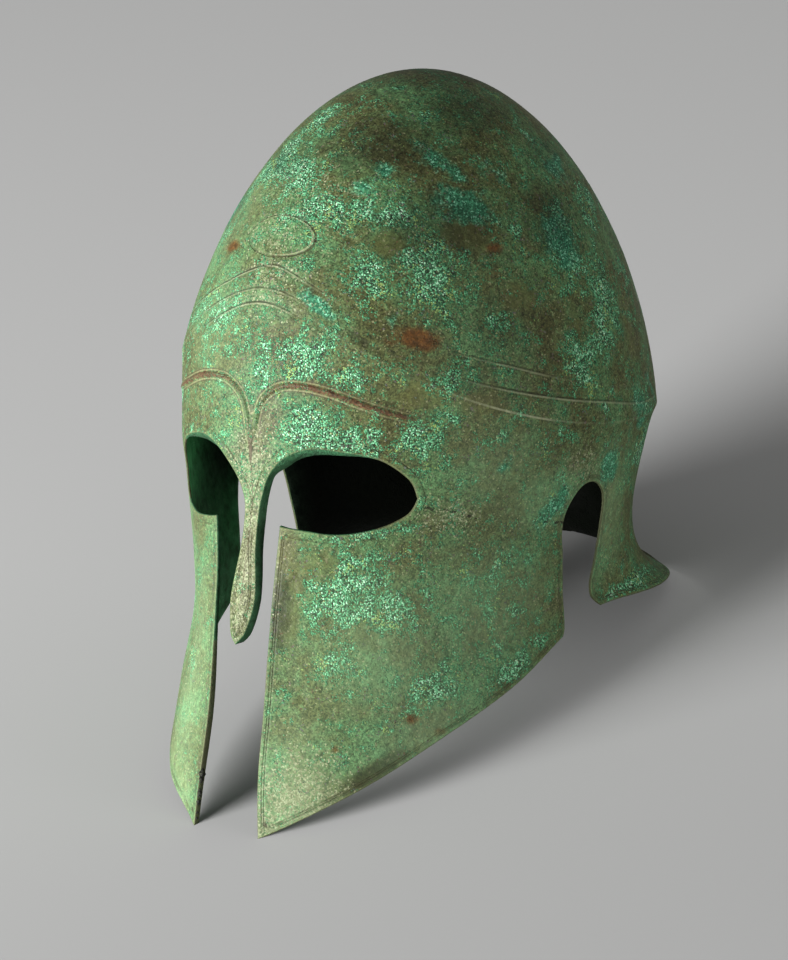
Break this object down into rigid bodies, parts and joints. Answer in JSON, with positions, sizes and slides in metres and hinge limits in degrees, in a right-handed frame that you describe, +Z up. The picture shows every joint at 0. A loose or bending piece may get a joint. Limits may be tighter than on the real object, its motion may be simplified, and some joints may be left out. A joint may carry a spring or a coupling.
{
  "type": "corinthian helmet",
  "caption": "Bronze helmet that covers the whole head: egg-shaped crown, almond eye openings, long nose guard, pointed cheek pieces, ear notches and a flared neck guard.",
  "frame": {"origin": "middle of the helmet's box on the surface that it stands on", "axes": "+Z up, -Y the way the face looks, +X the wearer's left"},
  "size_m": [0.175, 0.2834, 0.2405],
  "materials": {
    "bronze": "patinated bronze, matt green and brown with crusts"
  },
  "bodies": {
    "root": {"helmet_shell": "bronze"}
  },
  "joints": []
}
